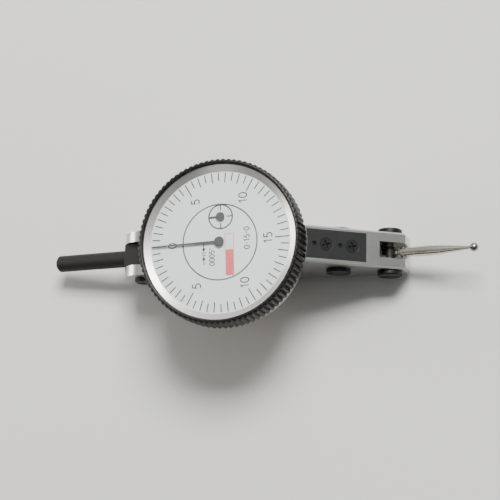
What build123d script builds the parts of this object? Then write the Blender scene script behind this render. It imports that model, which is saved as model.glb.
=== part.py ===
from build123d import *
from math import atan2, cos, degrees, hypot, pi, radians, sin, sqrt, tan
import os

# Lever-type dial indicator, in millimetres, lying on its dovetail rail.
# +Z is the dial normal, +X runs towards the contact, the pointer axis is the Z axis.

# Driving dimensions
BODY_HALF_WIDTH = 4.2
BODY_FLOOR_Z = 1.8            # underside of the body, above the dovetail's flat
BODY_REAR_X = -14.0
NOSE_TIP_X = 39.0
SLOPE = 32.1                  # degrees the nose falls towards the contact
SLOPE_START_X = 19.0
SLOPE_START_Z = 19.95
DECK_Z = 14.1                 # seat of the dial pan
DOVETAIL_HALF_WIDTH = 3.0
DIAL_Z = 23.8                 # printed face of the dial
DIAL_THICKNESS = 0.4
BEZEL_CREST_R = 19.0
BEZEL_ROOT_R = 18.5
BEZEL_TEETH = 90
BEZEL_FOOT_Z = 19.2
BEZEL_TOP_Z = 25.7
BEZEL_BORE_R = 17.5
LIP_R = 17.9
CRYSTAL_R = 18.1
PAN_R = 17.42
FRONT_SLOT_HALF = 1.85
FRONT_SLOT_X = 33.7
REAR_FORK_HALF = 5.2
REAR_SLOT_HALF = 2.75
REAR_LUG_R = 5.3
SCREW_HEAD_R = 2.8
CONTACT_PIVOT = (35.1, 5.8)   # x, z of the lever's axis, which runs along Y
STEM_PIVOT = (-22.2, 10.0)
SEGMENT_PIVOT = (24.0, 9.6)
CROWN_PIVOT = (0.0, 10.1)
COUNTER_Y = 5.76              # counter arbor, from the pointer axis
STEM_R = 1.984                # 5/32 inch stem
STEM_TIP = 25.0               # stem pivot to the stem's end
STEM_BLOCK_R = 3.75
STEM_DROOP = 10.3             # degrees the stored stem points below the rail's plane
CONTACT_RISE = 10.3           # degrees the stored contact points above it
BALL_DISTANCE = 20.02         # contact pivot to the ball's centre
BALL_R = 1.0
ZERO_TURN = 3.0               # degrees the scale's zero stands past the stem's side
RUNNING_GAP = 0.05            # radial clearance of a turning fit
JOURNAL_R = 0.8
STEM_JOURNAL_R = 0.98
ARBOR_R = 0.5
STAFF_R = 0.35                # upper staffs of the pointer and counter
STAFF_Z = 21.9                # where the arbors step down to their staffs
POINTER_Z = (24.25, 24.4)
COUNTER_HAND_Z = (23.97, 24.09)
CRYSTAL_Z = (24.87, 25.45)

# Gear train: lever to segment, segment to crown pinion, crown to centre pinion, centre to counter
SEGMENT_TEETH = 220
CROWN_PINION_TEETH = 20
CROWN_TEETH = 60
CENTRE_PINION_TEETH = 12
COUNTER_WHEEL_TEETH = 60
COUNTER_PINION_TEETH = 12
LEVER_TO_SEGMENT = 3.0014
SEGMENT_DISTANCE = hypot(SEGMENT_PIVOT[0] - CROWN_PIVOT[0], SEGMENT_PIVOT[1] - CROWN_PIVOT[1])
SEGMENT_MODULE = 2 * SEGMENT_DISTANCE / (SEGMENT_TEETH + CROWN_PINION_TEETH)
CROWN_MODULE = 0.15
COUNTER_MODULE = 2 * COUNTER_Y / (COUNTER_WHEEL_TEETH + COUNTER_PINION_TEETH)
TOOTH_TOP = 0.75              # tooth height above the pitch line, in modules
TOOTH_ROOT = 1.15
TOOTH_SHARE = 0.40            # tooth thickness at the pitch line, as a share of the pitch

PARTS = {}


def keep(name, *solids):
    """File a node: one solid, or several separate ones."""
    PARTS[name] = solids[0] if len(solids) == 1 else Compound(children=list(solids))


def block(x0, x1, y0, y1, z0, z1):
    """Box between two corners."""
    size = Box(x1 - x0, y1 - y0, z1 - z0)
    return Pos((x0 + x1) / 2, (y0 + y1) / 2, (z0 + z1) / 2) * size


def rod_z(radius, z0, z1, x=0.0, y=0.0):
    """Cylinder along Z."""
    return Pos(x, y, (z0 + z1) / 2) * Cylinder(radius, z1 - z0)


def ring_z(outer, inner, z0, z1, x=0.0, y=0.0):
    """Flat ring around a line along Z."""
    return rod_z(outer, z0, z1, x, y) - rod_z(inner, z0 - 1, z1 + 1, x, y)


def rod_y(radius, y0, y1, at):
    """Cylinder along Y through the point at = (x, z)."""
    return Pos(at[0], (y0 + y1) / 2, at[1]) * Rot(90, 0, 0) * Cylinder(radius, abs(y1 - y0))


def extrude_y(points, y0, y1):
    """Prism along Y over a closed (x, z) outline."""
    outline = Polyline(*[(x, y0, z) for x, z in points], close=True)
    face = Face(Wire(outline.edges()))
    return extrude(face, amount=y1 - y0, dir=(0, 1, 0))


def lathe_z(points):
    """Solid of revolution around the pointer axis, from an (r, z) outline."""
    outline = Polyline(*[(r, 0, z) for r, z in points], close=True)
    return revolve(Face(Wire(outline.edges())), Axis.Z, 360)


def about_y(shape, at, angle):
    """Turn a shape about the Y line through at = (x, z); positive lifts its +X end."""
    return Pos(at[0], 0, at[1]) * Rot(0, -angle, 0) * Pos(-at[0], 0, -at[1]) * shape


def slope_z(x):
    """Height of the nose's sloping top at x."""
    return SLOPE_START_Z - tan(radians(SLOPE)) * (x - SLOPE_START_X)


def on_slope(shape, x):
    """Stand a shape, made at the origin with +Z up, on the nose's slope at x."""
    return Pos(x, 0, slope_z(x)) * Rot(0, SLOPE, 0) * shape


def tooth_outline(teeth, module, centre, facing, first=0, last=None):
    """Points along a run of gear teeth; tooth number first is centred on the angle facing."""
    last = teeth - 1 if last is None else last
    pitch = 2 * pi / teeth
    pitch_r = teeth * module / 2
    profile = (
        (-0.50, -TOOTH_ROOT),
        (-TOOTH_SHARE / 2 - 0.06, -TOOTH_ROOT),
        (-TOOTH_SHARE / 2, 0.0),
        (-0.11, TOOTH_TOP),
        (0.11, TOOTH_TOP),
        (TOOTH_SHARE / 2, 0.0),
        (TOOTH_SHARE / 2 + 0.06, -TOOTH_ROOT),
    )
    points = []
    for tooth in range(first, last + 1):
        for share, height in profile:
            angle = facing + (tooth + share) * pitch
            radius = pitch_r + height * module
            points.append((centre[0] + radius * cos(angle), centre[1] + radius * sin(angle)))
    return points


def gear_y(teeth, module, centre, facing, y0, y1):
    """Spur gear on a Y line."""
    return extrude_y(tooth_outline(teeth, module, centre, facing), y0, y1)


def gear_z(teeth, module, centre, facing, z0, z1):
    """Spur gear on a Z line."""
    points = tooth_outline(teeth, module, centre, facing)
    face = Face(Wire(Polyline(*[(x, y, z0) for x, y in points], close=True).edges()))
    return extrude(face, amount=z1 - z0, dir=(0, 0, 1))


# ---- body ---------------------------------------------------------------------------------

PAN_CUT_R = PAN_R + 0.1
BEZEL_CUT_R = BEZEL_CREST_R + 0.2
CHANNEL_HALF = 2.6
CHANNEL_FLOOR_Z = 3.0
CHANNEL_REAR_X = -6.0
CHANNEL_FRONT_X = 31.5
CROWN_WELL_X = 6.5            # the channel is open above, from its rear end to here
TAIL_WAY_HALF = 1.4           # passage for the lever's tail, from the channel to the front slot
LUG_FRONT_X = -10.0
RAIL_FRONT_X = 31.0
PIVOT_SHANK_R = 1.28          # contact pivot screws in the fork
ROOF = 2.6                    # body left between the channel and the slope, measured along Z
CAP_R = 2.8
CAP_SHANK_R = 1.9
PLATE_X = (18.6, 31.0)        # its rear end is trimmed to the bezel's recess
PLATE_HALF_WIDTH = 3.3
PLATE_THICKNESS = 0.7
NOSE_BEVEL = 0.4              # bevel along both edges of the slope
PLATE_SCREW_X = (22.95, 28.2)
PLATE_SCREW_TURN = (20, 12)   # how far each cross recess is turned, in degrees
PLATE_HOLE_X = (20.6, 25.75)
PAN_SCREW_AT = [(-9.5, -3.0), (-9.5, 3.0), (14.2, -3.35), (14.2, 3.35)]


def plate_blank(half_width, thickness, grow=0.0):
    """The nose plate's block, lying in the slope with its top flush."""
    run = (PLATE_X[1] - PLATE_X[0]) / cos(radians(SLOPE))
    middle = (PLATE_X[0] + PLATE_X[1]) / 2
    lying = Box(run + 2 * grow, 2 * half_width, 2 * thickness)
    return on_slope(lying, middle)


def body_frame():
    """Machined body: wedge nose with its fork, rear fork lugs and the dovetail rail."""
    flat_x = BODY_REAR_X
    side = [(flat_x, BODY_FLOOR_Z), (NOSE_TIP_X, BODY_FLOOR_Z), (NOSE_TIP_X, slope_z(NOSE_TIP_X)),
            (SLOPE_START_X - 1.5, slope_z(SLOPE_START_X - 1.5)), (flat_x, slope_z(SLOPE_START_X - 1.5))]
    body = extrude_y(side, -BODY_HALF_WIDTH, BODY_HALF_WIDTH)
    body = chamfer(body.edges().filter_by(Axis.Z).group_by(Axis.X)[-1], 0.5)
    lug = block(STEM_PIVOT[0], LUG_FRONT_X, -REAR_FORK_HALF, REAR_FORK_HALF,
                STEM_PIVOT[1] - REAR_LUG_R, STEM_PIVOT[1] + REAR_LUG_R)
    lug += rod_y(REAR_LUG_R, -REAR_FORK_HALF, REAR_FORK_HALF, STEM_PIVOT)
    body += lug
    neck = DOVETAIL_HALF_WIDTH - 0.95
    rail = [(-DOVETAIL_HALF_WIDTH, 0), (DOVETAIL_HALF_WIDTH, 0),
            (neck, BODY_FLOOR_Z + 0.01), (-neck, BODY_FLOOR_Z + 0.01)]
    rail_face = Face(Wire(Polyline(*[(BODY_REAR_X, y, z) for y, z in rail], close=True).edges()))
    body += extrude(rail_face, amount=RAIL_FRONT_X - BODY_REAR_X, dir=(1, 0, 0))
    body -= rod_z(PAN_CUT_R, DECK_Z, 40)
    body -= rod_z(BEZEL_CUT_R, BEZEL_FOOT_Z - 0.3, 40)
    # rear fork slot, with a round floor that follows the stem block
    slot_x = STEM_PIVOT[0] + STEM_BLOCK_R + 0.25
    body -= block(-40, slot_x, -REAR_SLOT_HALF, REAR_SLOT_HALF, 0, 40)
    body -= rod_y(STEM_JOURNAL_R + 0.02, -10, 10, STEM_PIVOT)
    # front fork slot and the channel behind it
    body -= block(FRONT_SLOT_X, 50, -FRONT_SLOT_HALF, FRONT_SLOT_HALF, -1, 40)
    body -= rod_y(PIVOT_SHANK_R + 0.02, -10, 10, CONTACT_PIVOT)
    channel = [(CHANNEL_REAR_X, CHANNEL_FLOOR_Z), (CHANNEL_FRONT_X, CHANNEL_FLOOR_Z),
               (CHANNEL_FRONT_X, slope_z(CHANNEL_FRONT_X) - ROOF),
               (SLOPE_START_X + 2, slope_z(SLOPE_START_X + 2) - ROOF), (SLOPE_START_X - 2, DECK_Z - 1.5),
               (CROWN_WELL_X, DECK_Z - 1.5), (CROWN_WELL_X, DECK_Z + 1), (CHANNEL_REAR_X, DECK_Z + 1)]
    body -= extrude_y(channel, -CHANNEL_HALF, CHANNEL_HALF)
    body -= block(CHANNEL_FRONT_X - 0.5, FRONT_SLOT_X + 0.1, -TAIL_WAY_HALF, TAIL_WAY_HALF,
                  CHANNEL_FLOOR_Z, slope_z(FRONT_SLOT_X) - 1.6)
    for pivot in (SEGMENT_PIVOT, CROWN_PIVOT):
        body -= rod_y(CAP_SHANK_R, -10, 10, pivot)
    # seats for the nose plate and its screws, and the pan's screw holes
    body -= plate_blank(PLATE_HALF_WIDTH + 0.03, PLATE_THICKNESS, 0.03)
    for side in (-1, 1):
        bevel = Rot(45, 0, 0) * Box(80, NOSE_BEVEL * sqrt(2), NOSE_BEVEL * sqrt(2))
        body -= on_slope(Pos(0, side * BODY_HALF_WIDTH, 0) * bevel, NOSE_TIP_X)
    for x in PLATE_SCREW_X:
        body -= on_slope(Cylinder(0.62, 7), x)
    for x, y in PAN_SCREW_AT:
        body -= rod_z(0.5, DECK_Z - 4, DECK_Z + 1, x, y)
    keep("body_frame", body)


def nose_plate():
    """Black plate let into the slope, with its two countersunk screws and two grub screws."""
    plate = plate_blank(PLATE_HALF_WIDTH, PLATE_THICKNESS - 0.02)
    under = on_slope(Pos(0, 0, 5) * Box(60, 20, 10), (PLATE_X[0] + PLATE_X[1]) / 2)
    plate = plate - under - rod_z(BEZEL_CUT_R, 10, 40)
    screws = []
    for x, turn in zip(PLATE_SCREW_X, PLATE_SCREW_TURN):
        plate -= on_slope(Cone(0.70, 1.58, 0.5, align=(Align.CENTER, Align.CENTER, Align.MAX)), x)
        plate -= on_slope(Cylinder(0.70, 4), x)
        head = Cone(0.62, 1.48, 0.48, align=(Align.CENTER, Align.CENTER, Align.MAX))
        shank = Pos(0, 0, -0.4) * Cylinder(0.55, 2.6, align=(Align.CENTER, Align.CENTER, Align.MAX))
        cross = Box(1.9, 0.36, 0.8) + Box(0.36, 1.9, 0.8)
        screws.append(on_slope(head + shank - Rot(0, 0, turn) * cross, x))
    for x in PLATE_HOLE_X:
        plate -= on_slope(Cylinder(0.55, 4), x)
        plug = Pos(0, 0, -0.3) * Cylinder(0.52, 0.39, align=(Align.CENTER, Align.CENTER, Align.MAX))
        socket = extrude(RegularPolygon(0.28, 6), amount=0.9, both=True)
        screws.append(on_slope(plug - Pos(0, 0, 0.4) * socket, x))
    keep("nose_plate", plate)
    keep("nose_plate_screws", *screws)


def bearing_caps(name, pivot, head_r, head):
    """Pair of screwed plugs that hold an arbor's ends, with two spanner slots in each head."""
    caps = []
    for side in (-1, 1):
        face = side * BODY_HALF_WIDTH
        cap = rod_y(head_r, face, face + side * head, pivot)
        cap += rod_y(CAP_SHANK_R - 0.02, side * (CHANNEL_HALF + 0.05), face, pivot)
        cap -= rod_y(ARBOR_R + RUNNING_GAP, side * 2.0, face + side * 0.2, pivot)
        outer = face + side * head
        slot = block(pivot[0] - head_r, pivot[0] + head_r, min(outer, outer - side * 0.4),
                     max(outer, outer - side * 0.4), pivot[1] - 0.3, pivot[1] + 0.3)
        slot -= rod_y(head_r * 0.45, outer - side, outer + side, pivot)
        caps.append(cap - slot)
    keep(name, *caps)


def side_screws(name, pivot, fork_half, slot_half, shank_r, tip_r, tip_to, head):
    """Pair of slotted pivot screws whose inner tips are the journals of the swivel."""
    screws = []
    for side in (-1, 1):
        face = side * fork_half
        outer = face + side * head
        screw = rod_y(SCREW_HEAD_R, face, outer, pivot)
        rim = screw.edges().filter_by(GeomType.CIRCLE).sort_by(Axis.Y)[-1 if side > 0 else 0]
        screw = fillet(rim, 0.45)
        screw += rod_y(shank_r, side * (slot_half + 0.01), face, pivot)
        screw += rod_y(tip_r, side * tip_to, side * (slot_half + 0.01), pivot)
        deep = outer - side * 0.5
        screw -= block(pivot[0] - 4, pivot[0] + 4, min(outer, deep), max(outer, deep),
                       pivot[1] - 0.3, pivot[1] + 0.3)
        screws.append(screw)
    keep(name, *screws)


# ---- contact, lever and stem --------------------------------------------------------------

CHEEK = (0.78, 1.27)          # the lever's two cheeks, in Y
HUB_R = 1.35                  # small enough to turn in the square front slot
TAIL_ANGLE = degrees(atan2(SEGMENT_PIVOT[1] - CONTACT_PIVOT[1], SEGMENT_PIVOT[0] - CONTACT_PIVOT[0]))
PIVOT_SPAN = hypot(SEGMENT_PIVOT[0] - CONTACT_PIVOT[0], SEGMENT_PIVOT[1] - CONTACT_PIVOT[1])
SHORT_ARM = PIVOT_SPAN / (1 + LEVER_TO_SEGMENT)
LONG_ARM = PIVOT_SPAN - SHORT_ARM


def measuring_lever():
    """Forked hub on the pivot screws and a tail that ends in a round tip."""
    # made along +X from the pivot, then turned so that +X lies along the tail
    px, pz = CONTACT_PIVOT
    lever = block(px + 1.95, px + 2.8, -CHEEK[1], CHEEK[1], pz - 0.9, pz + 0.9)
    for side in (-1, 1):
        low, high = sorted((side * CHEEK[0], side * CHEEK[1]))
        lever += rod_y(HUB_R, low, high, CONTACT_PIVOT)
        lever += block(px, px + 2.8, low, high, pz - 0.9, pz + 0.9)
    lever += block(px + 2.7, px + LONG_ARM - 2, -0.5, 0.5, pz - 0.45, pz + 0.45)
    lever += block(px + LONG_ARM - 2.1, px + LONG_ARM, -0.5, 0.5, pz - 0.25, pz + 0.25)
    lever += rod_y(0.6, -0.5, 0.5, (px + LONG_ARM, pz))
    lever -= rod_y(JOURNAL_R + RUNNING_GAP, -3, 3, CONTACT_PIVOT)
    keep("measuring_lever", about_y(lever, CONTACT_PIVOT, TAIL_ANGLE))


def washers(name, pivot, bore_r, outer_r, inner_y, outer_y):
    """Thin friction washer on each side of a swivel."""
    pair = []
    for side in (-1, 1):
        low, high = sorted((side * inner_y, side * outer_y))
        pair.append(rod_y(outer_r, low, high, pivot) - rod_y(bore_r, low - 1, high + 1, pivot))
    keep(name, *pair)


def lathe_contact(points):
    """Turned piece along the contact's axis, from (distance from the pivot, radius) points."""
    outline = Polyline(*[(s, 0, r) for s, r in points], close=True)
    return revolve(Face(Wire(outline.edges())), Axis.X, 360)


SHANK_END = BALL_DISTANCE - 0.7


def contact():
    """Stylus holder, screwed-in shank with spanner flats, and the ball."""
    px, pz = CONTACT_PIVOT
    holder = rod_y(HUB_R, -0.74, 0.74, (0, 0)) + block(0, 1.55, -0.74, 0.74, -0.8, 0.8)
    holder -= rod_y(JOURNAL_R + RUNNING_GAP, -3, 3, (0, 0))
    holder -= Pos(1.3, 0, 0) * Rot(0, 90, 0) * Cylinder(0.45, 0.7)
    shank = lathe_contact([
        (1.0, 0), (1.0, 0.43), (1.57, 0.43), (1.57, 0.72), (1.65, 0.8), (2.1, 0.8),
        (2.2, 0.62), (2.6, 0.62), (2.7, 1.06), (2.8, 1.16), (3.5, 1.16),
        (3.58, 1.06), (3.7, 1.06), (3.78, 1.16), (6.4, 1.15), (9.2, 1.22), (11.0, 1.16),
        (12.3, 1.06), (15.2, 0.77), (18.0, 0.46), (19.0, 0.36), (SHANK_END, 0.36), (SHANK_END, 0)])
    flats = block(4.5, 5.8, -0.95, 0.95, -2, 2)
    shank -= block(4.5, 5.8, -2, 2, -2, 2) - flats
    ball = Pos(BALL_DISTANCE, 0, 0) * Sphere(BALL_R)
    ball -= block(0, SHANK_END, -2, 2, -2, 2)
    place = Pos(px, 0, pz) * Rot(0, -CONTACT_RISE, 0)
    keep("stylus_holder", place * holder)
    keep("contact_shank", place * shank)
    keep("contact_ball", place * ball)


def stem():
    """Swivel block in the rear fork and the round clamping stem."""
    half = 2.68
    hub = rod_y(STEM_BLOCK_R, -half, half, (0, 0))
    hub += block(-4.6, 0, -half, half, -STEM_BLOCK_R, STEM_BLOCK_R)
    hub = chamfer(hub.edges().filter_by(Axis.Y).group_by(Axis.X)[0], 0.7)
    hub -= rod_y(STEM_JOURNAL_R + 0.02 + RUNNING_GAP, -5, 5, (0, 0))
    root_r, root_x = 1.55, -3.2
    hub -= Pos(root_x - 0.9, 0, 0) * Rot(0, 90, 0) * Cylinder(root_r, 1.8)
    rod = revolve(Face(Wire(Polyline(
        (root_x - 0.02, 0, 0), (root_x - 0.02, 0, root_r - 0.02), (-4.62, 0, root_r - 0.02),
        (-5.3, 0, STEM_R), (0.5 - STEM_TIP, 0, STEM_R), (-STEM_TIP, 0, STEM_R - 0.5),
        (-STEM_TIP, 0, 0), close=True).edges())), Axis.X, 360)
    place = Pos(STEM_PIVOT[0], 0, STEM_PIVOT[1]) * Rot(0, -STEM_DROOP, 0)
    keep("stem_block", place * hub)
    keep("stem", place * rod)


# ---- gear train ---------------------------------------------------------------------------

MESH_ANGLE = atan2(CROWN_PIVOT[1] - SEGMENT_PIVOT[1], CROWN_PIVOT[0] - SEGMENT_PIVOT[0])
SEGMENT_Y = (1.1, 1.9)
CROWN_FACE_Y = -0.9           # pitch line of the crown teeth: the centre pinion's radius


def gear_segment():
    """Toothed arc on one long arm, a hub, and a short forked arm over the lever's tip."""
    pitch = 2 * pi / SEGMENT_TEETH
    first, last = -1, 10      # counted down the arc from the tooth in mesh at rest
    outer = tooth_outline(SEGMENT_TEETH, SEGMENT_MODULE, SEGMENT_PIVOT, MESH_ANGLE, first, last)
    rim_r = SEGMENT_TEETH * SEGMENT_MODULE / 2 - 1.4
    steps = range(2 * last + 1, 2 * first - 2, -2)
    inner = []
    for step in steps:
        angle = MESH_ANGLE + step * pitch / 2
        inner.append((SEGMENT_PIVOT[0] + rim_r * cos(angle), SEGMENT_PIVOT[1] + rim_r * sin(angle)))
    rim = extrude_y(outer + inner, *SEGMENT_Y)
    middle = degrees(MESH_ANGLE + (first + last) / 2 * pitch)
    arm = extrude_y([(0, -1.0), (rim_r + 0.5, -0.55), (rim_r + 0.5, 0.55), (0, 1.0)], *SEGMENT_Y)
    segment = rim + Pos(SEGMENT_PIVOT[0], 0, SEGMENT_PIVOT[1]) * Rot(0, -middle, 0) * arm
    segment += rod_y(1.5, -0.6, SEGMENT_Y[1], SEGMENT_PIVOT)
    # the fork reaches from the hub towards the lever's axis and lies in the lever's plane
    fork = block(0, SHORT_ARM + 0.75, -0.6, 0.6, -1.35, 1.35)
    fork -= block(SHORT_ARM - 0.85, SHORT_ARM + 2, -2, 2, -0.63, 0.63)
    towards = degrees(atan2(CONTACT_PIVOT[1] - SEGMENT_PIVOT[1], CONTACT_PIVOT[0] - SEGMENT_PIVOT[0]))
    segment += Pos(SEGMENT_PIVOT[0], 0, SEGMENT_PIVOT[1]) * Rot(0, -towards, 0) * fork
    segment -= rod_y(ARBOR_R, -5, 5, SEGMENT_PIVOT)
    keep("gear_segment", segment)
    keep("segment_arbor", rod_y(ARBOR_R, -3.9, 3.9, SEGMENT_PIVOT))


def crown_set():
    """Crown wheel, its pinion, the arbor they share, and the hairspring."""
    cx, cz = CROWN_PIVOT
    facing = MESH_ANGLE + pi + pi / CROWN_PINION_TEETH
    pinion = gear_y(CROWN_PINION_TEETH, SEGMENT_MODULE, CROWN_PIVOT, facing, 0.95, 2.05)
    keep("crown_pinion", pinion - rod_y(ARBOR_R, -5, 5, CROWN_PIVOT))
    pitch_r = CROWN_TEETH * CROWN_MODULE / 2
    pitch = 2 * pi * pitch_r / CROWN_TEETH
    root_y = CROWN_FACE_Y - TOOTH_ROOT * CROWN_MODULE
    wheel = rod_y(pitch_r + 0.45, root_y - 0.6, root_y, CROWN_PIVOT)
    for turn in range(5):
        spoke = 2 * pi * turn / 5
        hole = (cx + 2.5 * cos(spoke), cz + 2.5 * sin(spoke))
        wheel -= rod_y(1.15, -5, 5, hole)
    tip_y = CROWN_FACE_Y + TOOTH_TOP * CROWN_MODULE
    wide = pitch * (TOOTH_SHARE / 2 + 0.03)
    narrow = pitch * 0.10
    tooth_points = [(-wide, root_y - 0.1), (wide, root_y - 0.1), (narrow, tip_y), (-narrow, tip_y)]
    outline = Polyline(*[(x, y, pitch_r - 0.4) for x, y in tooth_points], close=True)
    tooth = extrude(Face(Wire(outline.edges())), amount=0.8, dir=(0, 0, 1))
    teeth = [Pos(cx, 0, cz) * Rot(0, 360 * k / CROWN_TEETH, 0) * tooth for k in range(CROWN_TEETH)]
    wheel = wheel + teeth
    keep("crown_wheel", wheel - rod_y(ARBOR_R, -5, 5, CROWN_PIVOT))
    keep("crown_arbor", rod_y(ARBOR_R, -3.9, 3.9, CROWN_PIVOT))
    hairspring()


def hairspring():
    """Flat spiral around the crown arbor, on a collet, and the stud beside its outer end."""
    turns, inner, outer, thick = 5, 0.95, 2.9, 0.08
    steps_per_turn = 24
    total = turns * steps_per_turn

    def spiral(offset):
        run = []
        for step in range(total + 1):
            angle = pi + 2 * pi * step / steps_per_turn
            radius = inner + (outer - inner) * step / total + offset
            run.append((CROWN_PIVOT[0] + radius * cos(angle), CROWN_PIVOT[1] + radius * sin(angle)))
        return run

    ribbon = extrude_y(spiral(thick / 2) + spiral(-thick / 2)[::-1], -0.2, 0.3)
    collet = rod_y(0.98, -0.25, 0.35, CROWN_PIVOT) - rod_y(ARBOR_R, -5, 5, CROWN_PIVOT)
    keep("hairspring", ribbon + collet)
    stud_at = (CROWN_PIVOT[0] - 3.35, CROWN_PIVOT[1])
    keep("hairspring_stud", rod_y(0.3, -0.25, CHANNEL_HALF, stud_at))


def hand(outline, boss_r, span):
    """Flat hand with a round boss, turned to the scale's zero."""
    blade = Face(Wire(Polyline(*[(x, y, span[0]) for x, y in outline], close=True).edges()))
    blade = extrude(blade, amount=span[1] - span[0], dir=(0, 0, 1)) + rod_z(boss_r, *span)
    return Rot(0, 0, 180 + ZERO_TURN) * (blade - rod_z(STAFF_R, 20, 30))


def centre_set():
    """Pointer arbor with its crown-driven pinion and the pinion that drives the counter."""
    mesh_z = CROWN_PIVOT[1] + CROWN_TEETH * CROWN_MODULE / 2
    low = gear_z(CENTRE_PINION_TEETH, CROWN_MODULE, (0, 0), -pi / 2 + pi / CENTRE_PINION_TEETH,
                 mesh_z - 0.6, mesh_z + 0.6)
    arbor = rod_z(ARBOR_R, mesh_z + 0.6, STAFF_Z) + rod_z(STAFF_R, STAFF_Z, POINTER_Z[1] + 0.1)
    keep("centre_arbor", arbor + low)
    drive = gear_z(COUNTER_PINION_TEETH, COUNTER_MODULE, (0, 0), pi / 2, 19.0, 20.0)
    keep("counter_drive_pinion", drive - rod_z(ARBOR_R, 10, 30))
    outline = [(-0.7, -0.27), (-0.7, 0.27), (4.0, 0.24), (16.0, 0.11), (16.0, -0.11), (4.0, -0.24)]
    keep("pointer", hand(outline, 0.75, POINTER_Z))
    foot = POINTER_Z[1]
    keep("pointer_hub", lathe_z([(STAFF_R, foot), (1.13, foot), (1.13, foot + 0.1), (0.98, foot + 0.22),
                                 (0, foot + 0.22), (0, foot + 0.11), (STAFF_R, foot + 0.11)]))


def counter_set():
    """Counter arbor, wheel, small hand and its hub."""
    at = (0, COUNTER_Y)
    keep("counter_arbor", rod_z(ARBOR_R, 17.0, STAFF_Z, *at)
         + rod_z(STAFF_R, STAFF_Z, COUNTER_HAND_Z[1] + 0.04, *at))
    wheel = gear_z(COUNTER_WHEEL_TEETH, COUNTER_MODULE, at, -pi / 2 + pi / COUNTER_WHEEL_TEETH, 19.2, 19.8)
    for turn in range(4):
        spoke = pi / 4 + turn * pi / 2
        wheel -= rod_z(1.25, 18, 21, at[0] + 2.75 * cos(spoke), at[1] + 2.75 * sin(spoke))
    keep("counter_wheel", wheel - rod_z(ARBOR_R, 10, 30, *at))
    outline = [(-0.7, -0.24), (-0.7, 0.24), (2.65, 0.14), (2.65, -0.14)]
    keep("counter_hand", Pos(0, COUNTER_Y, 0) * hand(outline, 0.6, COUNTER_HAND_Z))
    foot = COUNTER_HAND_Z[1]
    hub = lathe_z([(STAFF_R, foot), (1.02, foot), (1.02, foot + 0.11), (0, foot + 0.11),
                   (0, foot + 0.05), (STAFF_R, foot + 0.05)])
    keep("counter_hub", Pos(0, COUNTER_Y, 0) * hub)


# ---- movement and dial --------------------------------------------------------------------

PAN_FLOOR = (DECK_Z, DECK_Z + 1.0)
LOWER_PLATE = (17.6, 18.4)
UPPER_PLATE = (21.0, 21.8)
PLATE_R = 15.6
PILLAR_AT = [(13.0 * cos(radians(a)), 13.0 * sin(radians(a))) for a in (60, 180, 300)]
JEWEL_R = 1.0


def dial_pan():
    """Round pan that carries the movement; the bezel turns on its wall."""
    pan = rod_z(PAN_R, DECK_Z, 22.9) - rod_z(PAN_R - 1.2, PAN_FLOOR[1], 30)
    pan -= block(CHANNEL_REAR_X, CROWN_WELL_X, -CHANNEL_HALF, CHANNEL_HALF, 10, 16)
    pan -= ring_z(PAN_R + 1, PAN_R - 0.5, 20.3, 20.9)
    for x, y in PAN_SCREW_AT:
        pan -= rod_z(0.55, 10, 16, x, y)
    for x, y in PILLAR_AT:
        pan -= rod_z(0.5, 10, 16, x, y)
    keep("dial_pan", pan)
    screws = [rod_z(0.95, PAN_FLOOR[1], PAN_FLOOR[1] + 0.6, x, y) + rod_z(0.45, DECK_Z - 3, PAN_FLOOR[1], x, y)
              - block(x - 2, x + 2, y - 0.15, y + 0.15, PAN_FLOOR[1] + 0.35, PAN_FLOOR[1] + 1)
              for x, y in PAN_SCREW_AT]
    keep("pan_screws", *screws)
    wire = Pos(0, 0, 20.6) * Torus(PAN_R - 0.24, 0.2)
    keep("bezel_retaining_wire", wire - block(10, 20, -1.5, 1.5, 20, 21.2))


def movement():
    """Two plates on pillars, held to the pan by three long screws, with four jewels."""
    for name, span in (("lower_plate", LOWER_PLATE), ("upper_plate", UPPER_PLATE)):
        plate = rod_z(PLATE_R, *span)
        for x, y in PILLAR_AT:
            plate -= rod_z(0.6, 10, 30, x, y)
        for y in (0, COUNTER_Y):
            plate -= rod_z(JEWEL_R, 10, 30, 0, y)
        keep(name, plate)
    for name, low, high in (("lower_pillars", PAN_FLOOR[1], LOWER_PLATE[0]),
                            ("upper_pillars", LOWER_PLATE[1], UPPER_PLATE[0])):
        keep(name, *[ring_z(1.4, 0.6, low, high, x, y) for x, y in PILLAR_AT])
    screws = []
    for x, y in PILLAR_AT:
        seat = UPPER_PLATE[1]
        screw = rod_z(1.2, seat, seat + 0.7, x, y) + rod_z(0.5, DECK_Z + 0.2, seat, x, y)
        screws.append(screw - block(x - 2, x + 2, y - 0.15, y + 0.15, seat + 0.4, 30))
    keep("movement_screws", *screws)
    bore = ARBOR_R + RUNNING_GAP
    jewels = [ring_z(JEWEL_R, bore, span[0], span[1], 0, y)
              for span in (LOWER_PLATE, UPPER_PLATE) for y in (0, COUNTER_Y)]
    keep("jewels", *jewels)


CENTRE_DISC_R = 8.75


def dial():
    """Fixed centre disc on three feet, and the scale ring that turns with the bezel."""
    low = DIAL_Z - DIAL_THICKNESS
    disc = rod_z(CENTRE_DISC_R, low, DIAL_Z)
    for y in (0, COUNTER_Y):
        disc -= rod_z(0.6, 20, 30, 0, y)
    keep("dial_centre_disc", disc)
    feet = [rod_z(0.7, UPPER_PLATE[1], low, 6.5 * cos(a), 6.5 * sin(a) - 1.0)
            for a in (pi / 6, 5 * pi / 6, -pi / 2)]
    keep("dial_feet", *feet)
    keep("dial_scale_ring", ring_z(18.0, CENTRE_DISC_R + 0.1, low, DIAL_Z))


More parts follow.
